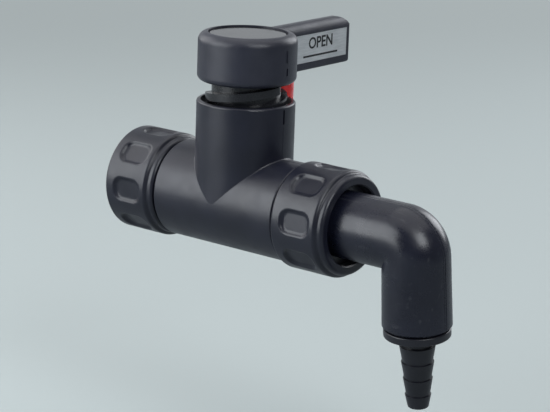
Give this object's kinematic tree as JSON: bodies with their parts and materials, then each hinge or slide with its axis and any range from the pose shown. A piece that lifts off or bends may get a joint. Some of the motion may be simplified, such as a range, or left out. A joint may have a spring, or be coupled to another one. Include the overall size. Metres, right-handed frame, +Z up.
{
  "type": "drain tap",
  "caption": "Tee-bodied drain tap with a threaded union inlet, a lever knob on a screw spindle, and a swivelling elbow that ends in a barbed hose nozzle.",
  "frame": {"origin": "centre of the inlet gasket's outer face, inside the inlet union nut", "axes": "+X along the run from inlet to outlet, +Z up the bonnet axis, +Y to the lever's side"},
  "size_m": [0.158, 0.0868, 0.1378],
  "materials": {
    "body_plastic": "satin moulded",
    "nozzle_plastic": "satin moulded",
    "nut_plastic": "satin moulded",
    "handle_plastic": "fine spark texture",
    "spindle_plastic": "smooth moulded",
    "cap_gloss": "polished",
    "label_foil": "brushed foil",
    "red_plastic": "satin moulded",
    "seal_rubber": "matt",
    "steel": "plain"
  },
  "bodies": {
    "valve_body": {"valve_body": "body_plastic", "inlet_tailpiece": "body_plastic", "inlet_gasket": "seal_rubber", "red_tab": "red_plastic"},
    "inlet_nut": {"inlet_union_nut": "nut_plastic"},
    "valve_cone": {"valve_cone": "spindle_plastic", "cone_seal": "seal_rubber", "cone_screw": "steel", "cone_clip": "steel"},
    "handle": {"handle": "handle_plastic", "spindle": "spindle_plastic", "spindle_o_ring_lower": "seal_rubber", "spindle_o_ring_upper": "seal_rubber", "handle_screw": "steel", "handle_washer": "steel", "cap_disc": "cap_gloss", "label_on": "label_foil", "label_off": "label_foil"},
    "outlet_gasket": {"outlet_gasket": "seal_rubber"},
    "outlet_elbow": {"outlet_elbow": "body_plastic", "hose_nozzle": "nozzle_plastic", "nozzle_o_ring": "seal_rubber"},
    "outlet_nut": {"outlet_union_nut": "nut_plastic"}
  },
  "joints": [
    {"name": "inlet_nut_spin", "type": "hinge", "parent": "valve_body", "child": "inlet_nut", "pos_m": [0, 0, 0], "axis": [1, 0, 0], "continuous": true},
    {"name": "cone_lift", "type": "slide", "parent": "valve_body", "child": "valve_cone", "axis": [0, 0, 1], "range_m": [-0.006, 0]},
    {"name": "handle_turn", "type": "hinge", "parent": "valve_cone", "child": "handle", "pos_m": [0.0431, 0, 0], "axis": [0, 0, 1], "range_deg": [-180, 0]},
    {"name": "outlet_union_draw", "type": "slide", "parent": "valve_body", "child": "outlet_gasket", "axis": [1, 0, 0], "range_m": [0, 0.009]},
    {"name": "outlet_nut_turn", "type": "hinge", "parent": "outlet_gasket", "child": "outlet_nut", "pos_m": [0.0912, 0, 0], "axis": [1, 0, 0], "range_deg": [0, 1080]},
    {"name": "elbow_swivel", "type": "hinge", "parent": "outlet_gasket", "child": "outlet_elbow", "pos_m": [0.0912, 0, 0], "axis": [1, 0, 0], "continuous": true}
  ],
  "couplings": [
    {"joint": "cone_lift", "follows": "handle_turn", "m_per_rad": 0.0019098},
    {"joint": "outlet_union_draw", "follows": "outlet_nut_turn", "m_per_rad": 0.00047746}
  ]
}
